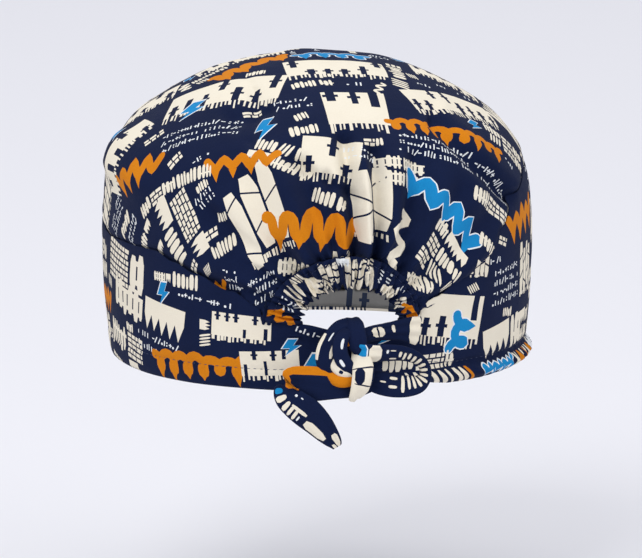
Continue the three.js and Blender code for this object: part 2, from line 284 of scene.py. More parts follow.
def band_surface(uv):
    """The band's cloth laid out flat: along it by angle, across it by height."""
    deg = from_back(uv[:, 0] / DEG_MM)
    hem, top = side_height(HEM, deg), side_height(SEAM, deg)
    p = plain_point(deg, row_at_height(uv[:, 1]))
    up = uv[:, 1] - hem
    below = np.maximum(top - uv[:, 1], 0)
    pucker = ripple(columns(deg * 1.7, 0 * deg, 0.3 * p[:, 2]), 2.4, 19)
    depth = 0.25 * ripple(p, 11, 15) + 0.08 * ripple(p, 4, 16)
    depth += (0.2 + 0.22 * pucker) * np.exp(-below / 1.6)
    depth += FOLD_SCALE * fold_depth(p) * np.exp(-below / 6)
    depth -= 0.35 * smooth((HEM_WIDTH - up) / 0.8)
    depth += (0.45 + 0.18 * pucker) * ridge(up, HEM_STITCHES, 0.7)
    depth += 1.3 * np.exp(-np.maximum(up, 0) / 0.7)
    rolled = smooth((deg - 14) / 14) * smooth((118 - deg) / 30) * (deg > 0)
    twist = 0.8 * np.sin(2 * math.pi * (uv[:, 0] + 1.1 * up) / 7.5 + 1.3 * np.sin(uv[:, 0] / 9))
    depth -= rolled * (2.7 + twist) * ridge(up, 3.2, 2.7)
    depth += rolled * (1.3 + 0.3 * twist) * ridge(up, 8.2, 1.5)
    knot = np.exp(-np.abs(deg) / 9)
    pleat = np.sin((uv[:, 1] - 16 - 0.1 * np.abs(deg)) / 2.1 + 0.8 * np.sin(deg / 5))
    depth += 1.3 * knot * pleat * smooth((np.abs(deg) - 2) / 6)
    for height, spread, strength in ((22, 5, 0.7), (12, 4, -0.6)):
        line = height + 0.42 * (np.abs(deg) - 10)
        drag = smooth((46 - np.abs(deg)) / 30) * strength
        depth += drag * ridge(uv[:, 1], line, spread)
    return p - outward(p) * depth[:, None]


# ---- flat outlines
def resample(outline, step):
    """Closed outline with no side longer than step."""
    points = []
    for a, b in zip(outline, np.roll(outline, -1, axis=0)):
        count = max(1, int(math.ceil(np.linalg.norm(b - a) / step)))
        points += [a + (b - a) * k / count for k in range(count)]
    return np.array(points)


def soften(outline, times=2):
    """Rounds the corners of a closed outline by cutting them."""
    for _ in range(times):
        after = np.roll(outline, -1, axis=0)
        outline = np.stack([0.78 * outline + 0.22 * after, 0.22 * outline + 0.78 * after], 1).reshape(-1, 2)
    return outline


def within(points, outline):
    """Which points a closed outline winds round."""
    x, y = points[:, 0], points[:, 1]
    winding = np.zeros(len(points), int)
    for (ax, ay), (bx, by) in zip(outline, np.roll(outline, -1, axis=0)):
        if ay != by:
            crossed = ((ay > y) != (by > y)) & (x < (bx - ax) * (y - ay) / (by - ay) + ax)
            winding += np.where(crossed, 1 if by > ay else -1, 0)
    return winding != 0


def stroke(path, width):
    """Outline of a line of that width along a path, with round ends."""
    path = np.array(path, float)
    along = unit(np.gradient(path, axis=0))
    side = columns(-along[:, 1], along[:, 0]) * width / 2
    left, right = path + side, (path - side)[::-1]

    def cap(centre, start, sweep=-math.pi):
        angles = [start + sweep * k / 5 for k in range(1, 5)]
        return [centre + width / 2 * np.array([math.cos(a), math.sin(a)]) for a in angles]

    end = math.atan2(side[-1, 1], side[-1, 0])
    begin = math.atan2(-side[0, 1], -side[0, 0])
    return np.array([*left, *cap(path[-1], end), *right, *cap(path[0], begin)])


def arc(cx, cy, rx, ry, start, sweep, count=12):
    angles = np.radians(start + sweep * np.arange(count + 1) / count)
    return columns(cx + rx * np.cos(angles), cy + ry * np.sin(angles))


def box(x, y, w, h):
    return np.array([(x, y), (x + w, y), (x + w, y + h), (x, y + h)], float)


# ---- motifs of the print
# Each returns outlines with their inks, in a box of the given width and height that starts at 0, 0.
def slats(w, h, ink, pick):
    """Upright bars of uneven width and height."""
    outlines, x = [], 0.0
    thin, thick = h * 0.12 + 0.4, h * 0.26 + 0.7
    while x < w - thin * 0.6:
        wide = min(pick.uniform(thin, thick), w - x)
        low, top = h * pick.choice((0, 0, 0, 0.12)), h * pick.choice((1, 1, 0.92, 0.8))
        outlines.append((soften(box(x, low, wide, top - low), 1), ink))
        x += wide + thin * pick.uniform(0.36, 0.5)
    return outlines


def fence(w, h, ink, pick):
    """Slats with rails across them."""
    outlines = slats(w, h, ink, pick)
    for y in pick.choice(((0.3,), (0.62,), (0.2, 0.68))):
        outlines.append((box(0.3, h * y, w - 0.6, h * 0.13), ink))
    return outlines


def leaning(w, h, ink, pick):
    """Bars that lean over."""
    lean = h * pick.choice((-0.35, -0.25, 0.25, 0.35))
    count = max(3, round((w - abs(lean)) / (h * 0.3)))
    pitch = (w - abs(lean)) / count
    outlines = []
    for k in range(count):
        x = k * pitch + max(0, -lean)
        path = [(x, 0), (x + pitch * 0.62, 0), (x + pitch * 0.62 + lean, h), (x + lean, h)]
        outlines.append((soften(np.array(path), 1), ink))
    return outlines


def bricks(w, h, ink, pick):
    """Short bars in courses, staggered."""
    courses = max(2, round(h / 2.6))
    tall = h / courses
    outlines = []
    for c in range(courses):
        x = 0.0
        while x < w - 0.8:
            wide = min(pick.uniform(1.6, 4.2), w - x)
            outlines.append((box(x, c * tall, wide, tall * 0.7), ink))
            x += wide + 0.7
    return outlines


def saw(w, h, ink, pick):
    """A solid strip with a saw-toothed side."""
    count = max(3, round(w / (h * 0.34)))
    pitch = w / count
    path = [(0, h), (0, h * 0.5)]
    for k in range(count):
        path += [((k + 0.5) * pitch, h * pick.uniform(0, 0.12)), ((k + 1) * pitch, h * 0.5)]
    return [(np.array([*path, (w, h)]), ink)]


TEXTURES = [slats, fence, fence, leaning, bricks, saw]


def shifted(outlines, x, y):
    return [(outline + (x, y), ink) for outline, ink in outlines]


def run(w, h, ink, pick):
    """Short stretches of bars, bricks and teeth side by side."""
    outlines, x = [], 0.0
    while x < w - h * 0.5:
        wide = min(pick.uniform(1.3, 2.3) * h, w - x)
        if w - x - wide < h * 0.6:
            wide = w - x
        outlines += shifted(pick.choice(TEXTURES)(wide - h * 0.12, h, ink, pick), x, 0)
        x += wide
    return outlines


def fringe(w, h, ink, pick):
    outlines, x = [], 0.3
    while x < w - 1:
        tall = h * pick.uniform(0.45, 1)
        outlines.append((box(x, h - tall, pick.choice((0.8, 0.8, 1.4)), tall), ink))
        x += pick.choice((1.7, 2.0, 2.6))
    return outlines


def slab(w, h, ink, pick):
    """A solid patch cut into by slots from above and below, with slits at their sides and a fringe."""
    foot = h * 0.2
    tall = h - foot
    count = max(3, round(w / (tall * 0.42)))
    pitch = w / count
    outlines = [(box(0, foot, w, tall), ink)]
    for k in range(count):
        slot = pitch * pick.uniform(0.28, 0.44)
        x = (k + 0.5) * pitch - slot / 2 + pick.uniform(-0.1, 0.1) * pitch
        deep = tall * pick.uniform(0.3, 0.6)
        y = foot if pick.random() < 0.45 else h - deep
        outlines.append((box(x, y - 0.01, slot, deep + 0.02), GROUND))
        if pick.random() < 0.6:
            y += deep * 0.46
            outlines.append((box(x - pitch * 0.16, y, slot + pitch * 0.32, tall * 0.08), GROUND))
    return outlines + fringe(w, foot * 1.05, ink, pick)


def pillars(w, h, ink, pick):
    """A few broad bars side by side, each split by slanting lines."""
    count = max(2, round(w / (h * 0.24)))
    pitch = w / count
    outlines = []
    for k in range(count):
        low, top = h * pick.choice((0, 0.05, 0.14)), h * pick.choice((1, 0.94, 0.85))
        bar, x = pitch * 0.86, k * pitch
        outlines.append((soften(box(x, low, bar, top - low), 1), ink))
        for part in pick.choice(((0.3, 0.66), (0.5,), (0.24, 0.8))):
            y, rise = low + (top - low) * part, bar * pick.choice((-0.5, 0.5, 0.7))
            start, end = x - 0.2, x + bar + 0.2
            line = [(start, y), (end, y + rise), (end, y + rise + 0.9), (start, y + 0.9)]
            outlines.append((np.array(line), GROUND))
    return outlines + fringe(w, h * 0.1, ink, pick)


def mid_rows(w, h, ink, pick):
    """One or more rows of bars, bricks and teeth."""
    lines = max(1, round(h / 8.6))
    tall = h / lines
    outlines = []
    for k in range(lines):
        inset = pick.uniform(0, 0.1) * w
        outlines += shifted(run(w - inset, tall * 0.88, ink, pick), pick.uniform(0, inset), k * tall)
    return outlines


def scrawl(w, h, ink, pick, edge=0.0):
    """A brushed zigzag or wave of uneven height with drips hanging from it."""
    count = max(2, round(w / (h * 0.62)))
    pitch = w / count
    kind = pick.choice(("zigzag", "wave", "loops"))
    thick = h * 0.3
    heights = [pick.uniform(0.5, 1) for _ in range(2 * count + 2)]
    t = np.linspace(0, count, count * 14 + 1)
    size = np.interp(2 * t, range(2 * count + 2), heights)
    if kind == "zigzag":
        swing, shift = 2 * np.abs(2 * (t % 1) - 1) - 1, 0
    elif kind == "wave":
        swing, shift = np.cos(2 * math.pi * t), 0.06 * np.sin(4 * math.pi * t)
    else:
        swing, shift = np.cos(2 * math.pi * t), 0.3 * np.sin(2 * math.pi * t)
    x = (t + shift) * pitch
    path = columns(x, h * 0.56 + h * 0.32 * size * swing)
    brush = [(stroke(path, thick), ink)]
    rim = [(stroke(path, thick + 2 * edge), WHITE)]
    for k in range(count):
        foot = np.array([(k + 0.5) * pitch, h * 0.3])
        if pick.random() < 0.75:
            tip = (thick * pick.uniform(-0.2, 0.2), -h * pick.uniform(0.22, 0.4))
            drip = np.array([(-thick * 0.5, 0), (thick * 0.5, 0), tip])
            brush.append((drip + foot, ink))
    return (rim if edge else []) + brush


def edged_scrawl(w, h, ink, pick):
    return scrawl(w, h, ink, pick, 0.6)


def bolt(w, h, ink, pick):
    """A jagged flash with a pale edge."""
    path = [(0.36, 1), (0.86, 1), (0.62, 0.6), (1, 0.6), (0.2, 0), (0.42, 0.42), (0.02, 0.42)]
    path = np.array(path) * (w, h)
    middle = path.mean(0)
    return [(middle + (path - middle) * 1.17, WHITE), (path, ink)]


def small_marks(w, h, ink, pick):
    """Rows of ticks, dots, dashes and crosses."""
    marks = []
    lines = max(1, round(h / 4.4))
    tall = 2.4
    for k in range(lines):
        x = pick.uniform(0, 0.12) * w
        y = (k + 0.2) * h / lines
        while x < w - 2:
            kind = pick.choice("||||..-/+: ")
            if kind == "|":
                marks.append(box(x + 0.4, y, 0.65, tall * pick.choice((1, 1, 0.7, 1.25))))
            elif kind == ".":
                marks.append(arc(x + 0.7, y + 0.6, 0.6, 0.6, 0, 330, 7))
            elif kind == "-":
                marks.append(box(x + 0.1, y + tall * 0.4, 1.5, 0.55))
            elif kind == "/":
                marks.append(stroke([(x + 0.2, y), (x + 0.8, y + tall / 2), (x + 1.4, y + tall)], 0.6))
            elif kind == "+":
                marks.append(box(x, y + tall * 0.4, 1.8, 0.5))
                marks.append(box(x + 0.65, y + tall * 0.1, 0.5, tall * 0.75))
            elif kind == ":":
                marks += [box(x + 0.4, y + rise, 0.7, 0.7) for rise in (0.2, 1.5)]
            x += pick.choice((1.5, 1.9, 2.3))
    return [(mark, ink) for mark in marks]


def twist(w, h, ink, pick):
    """Slanting stripes of uneven width, as on a rolled edge."""
    outlines, x = [], 0.0
    while x < w:
        wide = pick.uniform(1.2, 3.2)
        path = [(x, 0), (x + wide, 0), (x + wide - h * 0.8, h), (x - h * 0.8, h)]
        stripe = pick.choice((ink, ink, ink, ORANGE)) if ink == CREAM else ink
        outlines.append((soften(np.array(path), 1), stripe))
        x += wide + pick.uniform(0.9, 2.4)
    return outlines


def curl(w, h, ink, pick):
    """One thick stroke, winding to and fro."""
    t = np.linspace(0, 1, 22)
    x = w * (0.5 + 0.34 * np.sin(t * 4.4 * math.pi) * (1 - 0.35 * t))
    y = h * (0.94 - 0.88 * t)
    return [(stroke(columns(x, y), w * 0.27), ink)]


MOTIFS = dict(
    slab=slab, tall=pillars, mid=mid_rows, scrawl=scrawl, edged=edged_scrawl,
    bolt=bolt, bold=run, marks=small_marks, curl=curl, twist=twist,
)
USUAL_INK = dict(scrawl=ORANGE, edged=BLUE, bolt=BLUE, marks=WHITE)  # cream for the others


def placed(kind, x, y, w, h, turn, seed, ink=None):
    """A motif's outlines on the cloth, centred at x, y and turned by so many degrees."""
    ink = USUAL_INK.get(kind, CREAM) if ink is None else ink
    outlines = MOTIFS[kind](w, h, ink, random.Random(seed))
    c, s = math.cos(math.radians(turn)), math.sin(math.radians(turn))
    spin = np.array([(c, s), (-s, c)])
    return [((outline - (w / 2, h / 2)) @ spin + (x, y), ink) for outline, ink in outlines]


# Motifs that show from behind: kind, across, along, width, height, turn, seed. Flat cloth from the apex.
CROWN_PRINT = [
    ("tall", -46, -110, 30, 44, 6, 3),
    ("scrawl", -20, -124, 50, 19, -14, 12),
    ("mid", -27, -88, 36, 15, -34, 5),
    ("scrawl", -47, -84, 34, 13, -16, 8),
    ("slab", -7, -93, 27, 24, -14, 4),
    ("slab", 9, -63, 28, 30, 2, 22),
    ("marks", -62, -54, 42, 14, -20, 3),
    ("slab", -48, -30, 58, 26, -22, 6),
    ("bolt", -63, -33, 13, 13, -30, 1),
    ("scrawl", -99, -47, 34, 14, -38, 21),
    ("mid", -86, -71, 54, 7.4, -20, 9),
    ("bold", -98, -88, 34, 11, -96, 14),
    ("bold", -84, -95, 34, 12, -90, 24),
    ("tall", 13, -114, 20, 34, 4, 31),
    ("mid", 27, -97, 27, 15, 2, 17),
    ("edged", 55, -107, 50, 17, -16, 15),
    ("mid", 60, -127, 30, 26, -22, 28),
    ("scrawl", 52, -67, 60, 11, 8, 33),
    ("marks", 44, -80, 46, 13, 4, 5),
    ("slab", 58, -40, 52, 20, 24, 7),
    ("slab", 5, -24, 44, 22, 0, 19),
    ("curl", 29, -129, 15, 30, -6, 1),
    ("tall", -4, -143, 12, 15, 0, 2),
    ("mid", -34, -139, 22, 9, -20, 41),
    ("marks", -73, -130, 14, 12, -30, 13),
    ("scrawl", -92, -127, 22, 11, -20, 18),
    ("marks", 8, -90, 18, 8, -10, 23),
    ("bolt", -33, -68, 10, 15, -8, 1),
    ("mid", -8, -112, 20, 8, -24, 44),
]
# The same on the band, by degrees from the back and height. A last word is an ink that isn't the usual.
BAND_PRINT = [
    ("bold", -70, 46, 42, 18, -6, 3),
    ("bold", -60, 29, 58, 15, -9, 26),
    ("marks", -55, 15, 30, 11, -9, 7),
    ("marks", -38, 39, 30, 5, -7, 17),
    ("slab", -27.5, 27, 27, 13, -3, 8),
    ("scrawl", -41, 8, 50, 14, 2, 5),
    ("bold", -72, 12, 38, 12, -8, 29),
    ("slab", -20, 11, 26, 14, 4, 10),
    ("bolt", -14.5, 20, 8, 7, 2, 1),
    ("slab", 28, 28, 34, 24, -10, 16),
    ("edged", 31.5, 22, 15, 15, 75, 6),
    ("marks", 49, 40, 26, 18, 4, 9),
    ("bold", 51, 16, 38, 15, 8, 13),
    ("scrawl", 60, 66, 34, 15, 6, 2),
    ("twist", 28, 3.4, 34, 7, 0, 4),
    ("edged", 47, 3.6, 24, 7, 0, 4),
    ("twist", 67, 3.4, 30, 7, 0, 12),
    ("mid", 64, 18, 22, 15, 2, 33),
    ("mid", 79, 34, 28, 16, 2, 34),
    ("twist", 84, 3.4, 22, 7, 0, 15, WHITE),
    ("slab", 83, 60, 40, 20, -3, 35),
    ("tall", 37, 52, 12, 12, -6, 6),
    ("mid", 3.5, 18, 9, 9, 0, 6),
    ("scrawl", -92, 26, 28, 12, 0, 22),
    ("mid", -94, 44, 26, 18, -3, 23),
]
# What fills the rest, largest first: kind, least and most width, the same of the height, tries.
FILLERS = [
    ("slab", (34, 56), (18, 26), 80),
    ("tall", (24, 36), (24, 32), 60),
    ("scrawl", (30, 48), (12, 17), 60),
    ("edged", (22, 36), (11, 14), 14),
    ("tall", (18, 30), (18, 28), 40),
    ("mid", (26, 44), (8, 15), 160),
    ("marks", (18, 34), (8, 14), 160),
    ("bolt", (7, 10), (8, 11), 30),
    ("mid", (12, 22), (6, 9), 260),
    ("marks", (9, 16), (4.6, 9), 200),
    ("curl", (5, 8), (9, 13), 60),
    ("mid", (7, 12), (4.6, 6), 260),
]
CELL = 1.5


def fill_print(outline, chart, seed):
    """Charted motifs first, then fillers wherever their box is still free."""
    low, high = outline.min(0), outline.max(0)
    nx, ny = np.ceil((high - low) / CELL).astype(int) + 1
    gx, gy = np.meshgrid(np.arange(nx), np.arange(ny), indexing="ij")
    cells = columns(gx.ravel(), gy.ravel()) * CELL + low
    free = within(cells, outline)
    pick = random.Random(seed)
    outlines = []

    def covered(x, y, w, h, turn):
        c, s = math.cos(math.radians(turn)), math.sin(math.radians(turn))
        d = cells - (x, y)
        along, across = d[:, 0] * c + d[:, 1] * s, -d[:, 0] * s + d[:, 1] * c
        return (np.abs(along) < w / 2 + 0.3) & (np.abs(across) < h / 2 + 0.3)

    for row in chart:
        free &= ~covered(*row[1:6])
        outlines += placed(*row)
    for kind, widths, heights, tries in FILLERS:
        for _ in range(tries):
            spots = np.flatnonzero(free)
            if len(spots) < 10:
                return outlines
            x, y = cells[pick.choice(spots)]
            w, h = pick.uniform(*widths), pick.uniform(*heights)
            turn = pick.choice((0, 0, 0, 0, 90, -18, 14)) + pick.uniform(-5, 5)
            spot = covered(x, y, w, h, turn)
            if spot.sum() * CELL * CELL < w * h * 0.8 or (spot & ~free).sum() > 0.06 * spot.sum():
                continue
            free &= ~spot
            outlines += placed(kind, x, y, w, h, turn, pick.randrange(10 ** 6))
    return outlines


# ---- materials
def new_material(name):
    material = bpy.data.materials.new(name)
    material.use_nodes = True
    return material, material.node_tree.nodes["Principled BSDF"].inputs


def plain_material(name, colour, roughness):
    material, surface = new_material(name)
    surface["Base Color"].default_value = (*colour, 1)
    surface["Roughness"].default_value = roughness
    return material


def cloth_material(name, colour, other):
    """Plain-woven cotton: fine threads, slightly uneven colour and small crush marks."""
    material, surface = new_material(name)
    nodes, links = material.node_tree.nodes, material.node_tree.links
    matte = {"Roughness": 0.86, "Specular IOR Level": 0.12, "Sheen Weight": 0.012, "Sheen Roughness": 0.5}
    for socket, value in matte.items():
        surface[socket].default_value = value
    place = nodes.new("ShaderNodeUVMap")
    place.uv_map = "Cloth"

    def pattern(kind, **settings):
        node = nodes.new(kind)
        for socket, value in settings.items():
            node.inputs[socket].default_value = value
        links.new(place.outputs["UV"], node.inputs["Vector"])
        return node.outputs["Fac"]

    def noise(scale, detail):
        return pattern("ShaderNodeTexNoise", Scale=scale, Detail=detail)

    def threads(direction):
        bands = pattern("ShaderNodeTexWave", Scale=0.62, Distortion=0.6, Detail=1.0)
        bands.node.bands_direction = direction
        return bands

    def combine(operation, a, b):
        node = nodes.new("ShaderNodeMath")
        node.operation = operation
        for socket, value in zip(node.inputs, (a, b)):
            if hasattr(value, "is_output"):
                links.new(value, socket)
            else:
                socket.default_value = value
        return node.outputs[0]

    woven = combine("MULTIPLY", threads("X"), threads("Y"))
    speckle = noise(1.4, 3)
    cloud = noise(0.05, 2)
    shade = combine("ADD", combine("MULTIPLY", speckle, 0.5), combine("MULTIPLY", cloud, 0.5))
    shade = combine("SUBTRACT", shade, combine("MULTIPLY", woven, 0.22))
    ramp = nodes.new("ShaderNodeMapRange")
    ramp.inputs["From Min"].default_value = 0.2
    ramp.inputs["From Max"].default_value = 0.7
    links.new(shade, ramp.inputs["Value"])
    mix = nodes.new("ShaderNodeMix")
    mix.data_type = "RGBA"
    mix.inputs["A"].default_value = (*colour, 1)
    mix.inputs["B"].default_value = (*other, 1)
    links.new(ramp.outputs["Result"], mix.inputs["Factor"])
    links.new(mix.outputs["Result"], surface["Base Color"])
    crush = combine("MULTIPLY", noise(0.22, 3), 2.2)
    relief = combine("ADD", combine("MULTIPLY", woven, 0.5), crush)
    bump = nodes.new("ShaderNodeBump")
    bump.inputs["Strength"].default_value = 0.35
    bump.inputs["Distance"].default_value = 0.00035
    links.new(relief, bump.inputs["Height"])
    links.new(bump.outputs["Normal"], surface["Normal"])
    return material


INKS = [
    cloth_material("cotton_navy", (0.0048, 0.0120, 0.050), (0.0030, 0.0078, 0.034)),
    cloth_material("cotton_cream", (0.86, 0.80, 0.665), (0.79, 0.72, 0.58)),
    cloth_material("cotton_orange", (0.70, 0.235, 0.006), (0.58, 0.175, 0.005)),
    cloth_material("cotton_blue", (0.010, 0.265, 0.575), (0.008, 0.205, 0.48)),
    cloth_material("cotton_white", (0.84, 0.86, 0.86), (0.74, 0.77, 0.79)),
    cloth_material("cotton_wrong_side", (0.055, 0.075, 0.135), (0.04, 0.055, 0.10)),
    cloth_material("cotton_wrong_side_pale", (0.42, 0.41, 0.38), (0.36, 0.35, 0.33)),
]
WRONG, WRONG_PALE = 5, 6


# ---- cloth from flat patterns
def add(name, data):
    obj = bpy.data.objects.new(name, data)
    bpy.context.collection.objects.link(obj)
    return obj


def finite_normals(surface, uv, sign=1.0, step=0.12):
    du = surface(uv + (step, 0)) - surface(uv - (step, 0))
    dv = surface(uv + (0, step)) - surface(uv - (0, step))
    return unit(np.cross(du, dv) * sign)


def scatter(outline, step, fine, fine_step):
    """Points of a triangular grid within an outline and clear of it, closer together where fine says so."""
    low, high = outline.min(0), outline.max(0)

    def grid(pitch, shift):
        xs = np.arange(low[0] + shift, high[0], pitch)
        ys = np.arange(low[1] + shift, high[1], pitch * 0.866)
        gx, gy = np.meshgrid(xs, ys)
        gx = gx + (np.arange(len(ys)) % 2)[:, None] * pitch / 2
        return columns(gx.ravel(), gy.ravel())

    points = grid(step, 0.31 * step)
    least = 0.4 * step
    if fine is not None:
        close = grid(fine_step, 0.37 * fine_step)
        points = np.concatenate([points[~fine(points)], close[fine(close)]])
        least = 0.45 * fine_step
    points = points[within(points, outline)]
    clear = np.ones(len(points), bool)
    for k in range(0, len(outline), 200):
        clear &= np.linalg.norm(points[:, None] - outline[None, k:k + 200], axis=2).min(1) > least
    return points[clear]


def cut(outline, points, shapes, ink):
    """Triangles of a flat piece of cloth, cut along its printed shapes: corners, triangles, middles, inks."""
    verts = [Vector(p) for p in (*outline, *points)]
    edges = [(i, (i + 1) % len(outline)) for i in range(len(outline))]
    reach = 3.0
    shapes = [(resample(shape, EDGE_STEP), colour) for shape, colour in shapes]
    low, high = outline.min(0) - reach, outline.max(0) + reach
    shapes = [row for row in shapes if (row[0].max(0) > low).all() and (row[0].min(0) < high).all()]
    for shape, _ in shapes:
        start = len(verts)
        verts += [Vector(p) for p in shape]
        edges += [(start + k, start + (k + 1) % len(shape)) for k in range(len(shape))]
    result = delaunay_2d_cdt(verts, edges, [], 0, 1e-3, False)
    uv = np.array([(v.x, v.y) for v in result[0]])
    tris = np.array(list(result[2]), int)
    a, b, c = uv[tris[:, 0]], uv[tris[:, 1]], uv[tris[:, 2]]
    area = (b - a)[:, 0] * (c - a)[:, 1] - (b - a)[:, 1] * (c - a)[:, 0]
    tris = np.where((area < 0)[:, None], tris[:, ::-1], tris)
    centre = (a + b + c) / 3
    keep = within(centre, outline) & (np.abs(area) > 1e-5)
    tris, centre = tris[keep], centre[keep]
    used, tris = np.unique(tris, return_inverse=True)
    inks = np.full(len(centre), ink)
    order = np.argsort(centre[:, 0])
    xs = centre[order, 0]
    for shape, colour in shapes:
        first, last = np.searchsorted(xs, [shape[:, 0].min(), shape[:, 0].max()])
        near = order[first:last]
        near = near[(centre[near, 1] > shape[:, 1].min()) & (centre[near, 1] < shape[:, 1].max())]
        if len(near):
            inks[near[within(centre[near], shape)]] = colour
    return uv[used], tris.reshape(-1, 3), centre, inks


def bake_layout(flat, half, centre, low, high):
    """Where the corners lie on the baked sheet: first the half that is the front, then the back and the rim.
    The front of a long strip lies in four lanes."""
    long, tall = high - low
    from_low = flat - low
    if long <= 4 * tall:
        fit = from_low / max(long, tall)
        return np.concatenate([0.005 + fit[:half] * 0.73, 0.745 + fit[half:] * 0.25])
    strip = long / 4.001
    lane = np.repeat(np.floor((centre[:, 0] - low[0]) / strip), 3)
    scale = 0.98 / (strip + 8)
    baked = np.zeros_like(flat)
    baked[:half, 0] = 0.01 + (from_low[:half, 0] - lane * strip + 3) * scale * 0.985
    baked[:half, 1] = 0.01 + (from_low[:half, 1] + lane * (tall + 3)) * scale * 0.5
    baked[half:, 0] = 0.01 + from_low[half:, 0] * 0.98 / long
    baked[half:, 1] = 0.99 - from_low[half:, 1] * 0.12 / tall
    return baked


def cloth(name, outline, front, shapes, step, back=None, fine=None, fine_step=1.0, ink=GROUND, wrong=True):
    """Cuts a piece of printed cloth from its flat outline, shapes it with front(uv), and gives it thickness.
    back(uv) places its other side, and fine(uv) tells where the mesh is closer. A piece with its wrong side
    in view is duller there."""
    uv, tris, centre, inks = cut(outline, scatter(outline, step, fine, fine_step), shapes, ink)
    top = front(uv)
    normals = finite_normals(front, uv)
    bottom = top - normals * CLOTH if back is None else back(uv)
    under = -normals if back is None else finite_normals(back, uv, -1.0)
    count = len(uv)
    pairs = np.concatenate([tris[:, [0, 1]], tris[:, [1, 2]], tris[:, [2, 0]]])
    _, index, number = np.unique(np.sort(pairs, axis=1), axis=0, return_index=True, return_counts=True)
    border = index[number == 1]
    rim = pairs[border][:, [1, 0, 0, 1]] + (0, 0, count, count)
    faces = tris.tolist() + (tris[:, ::-1] + count).tolist() + rim.tolist()
    mesh = bpy.data.meshes.new(name)
    mesh.from_pydata((np.concatenate([top, bottom]) * MM).tolist(), [], faces)
    under_ink = np.where(inks == GROUND, WRONG, WRONG_PALE) if wrong else inks
    rim_ink = np.tile(inks, 3)[border]
    mesh.polygons.foreach_set("material_index", np.concatenate([inks, under_ink, rim_ink]).astype(np.int32))
    for material in INKS:
        mesh.materials.append(material)
    mesh.polygons.foreach_set("use_smooth", np.ones(len(faces), bool))
    loops = np.zeros(len(mesh.loops), np.int32)
    mesh.loops.foreach_get("vertex_index", loops)
    flat = np.concatenate([uv, uv])[loops]
    half = len(tris) * 3
    weave = mesh.uv_layers.new(name="Cloth")
    weave.data.foreach_set("uv", flat.astype(np.float32).ravel())
    bake = mesh.uv_layers.new(name="OFBake")
    baked = bake_layout(flat, half, centre, outline.min(0), outline.max(0))
    bake.data.foreach_set("uv", baked.astype(np.float32).ravel())
    weave.active_render = True
    mesh.uv_layers.active = weave
    mesh.validate(clean_customdata=False)
    mesh.update()
    out = np.zeros((len(loops), 3))
    out[:half] = normals[loops[:half]]
    out[half:2 * half] = under[loops[half:2 * half] - count]
    p = np.concatenate([top, bottom])
    side = unit(np.cross(p[rim[:, 1]] - p[rim[:, 0]], p[rim[:, 2]] - p[rim[:, 0]]))
    out[2 * half:] = np.repeat(side, 4, axis=0)
    if len(mesh.loops) == len(loops):
        mesh.normals_split_custom_set(out.tolist())
    return add(name, mesh)


def stand_for(obj, node):
    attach(obj, "root")
    if node:
        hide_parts(node)
    return obj


# ---- crown
turns = np.concatenate([np.arange(-180, -40, 1.2), np.arange(-40, 40, 0.35), np.arange(40, 180, 1.2)])
crown_rho = np.interp(crown_edge(turns) - SEAM_ALLOWANCE, HEIGHTS, RHO)
crown_outline = columns(crown_rho * np.sin(np.radians(turns)), -crown_rho * np.cos(np.radians(turns)))
crown_outline = resample(crown_outline, EDGE_STEP)


def crown_fine(uv):
    return (np.hypot(uv[:, 0] * 0.9, uv[:, 1] + 132) < 52) & (uv[:, 1] < -84)


crown_shapes = fill_print(crown_outline, CROWN_PRINT, 21)
crown = cloth("crown", crown_outline, crown_surface, crown_shapes, 2.9, fine=crown_fine, fine_step=1.15)
stand_for(crown, "crown_panel")

# ---- band
turns = np.arange(BAND_FROM, BAND_TO + 0.01, 0.5)
hem_line = columns(turns * DEG_MM, side_height(HEM, from_back(turns)))
seam_line = columns(turns * DEG_MM, side_height(SEAM, from_back(turns)) - 0.12)[::-1]
band_outline = resample(np.concatenate([hem_line, seam_line]), EDGE_STEP)


def band_back(uv):
    """The wrong side, twice as far in where the hem is turned up."""
    p = band_surface(uv)
    n = finite_normals(band_surface, uv)
    up = uv[:, 1] - side_height(HEM, from_back(uv[:, 0] / DEG_MM))
    return p - n * (CLOTH + 0.9 * smooth((HEM_WIDTH - up) / 0.7))[:, None]


def band_fine(uv):
    deg = uv[:, 0] / DEG_MM
    return ((deg < 112) & (uv[:, 1] < 13)) | (deg < 30) | (deg > 335)


chart = [(kind, (deg % 360) * DEG_MM, *rest) for kind, deg, *rest in BAND_PRINT]
band_shapes = fill_print(band_outline, chart, 8)
band = cloth(
    "band", band_outline, band_surface, band_shapes, 2.6, back=band_back, fine=band_fine, fine_step=1.2,
)
stand_for(band, "side_band")

# ---- ruched casing
CASING_LENGTH, CASING_WIDTH = 92.0, 13.0
CASING_END = 7         # what runs on behind the band at each end


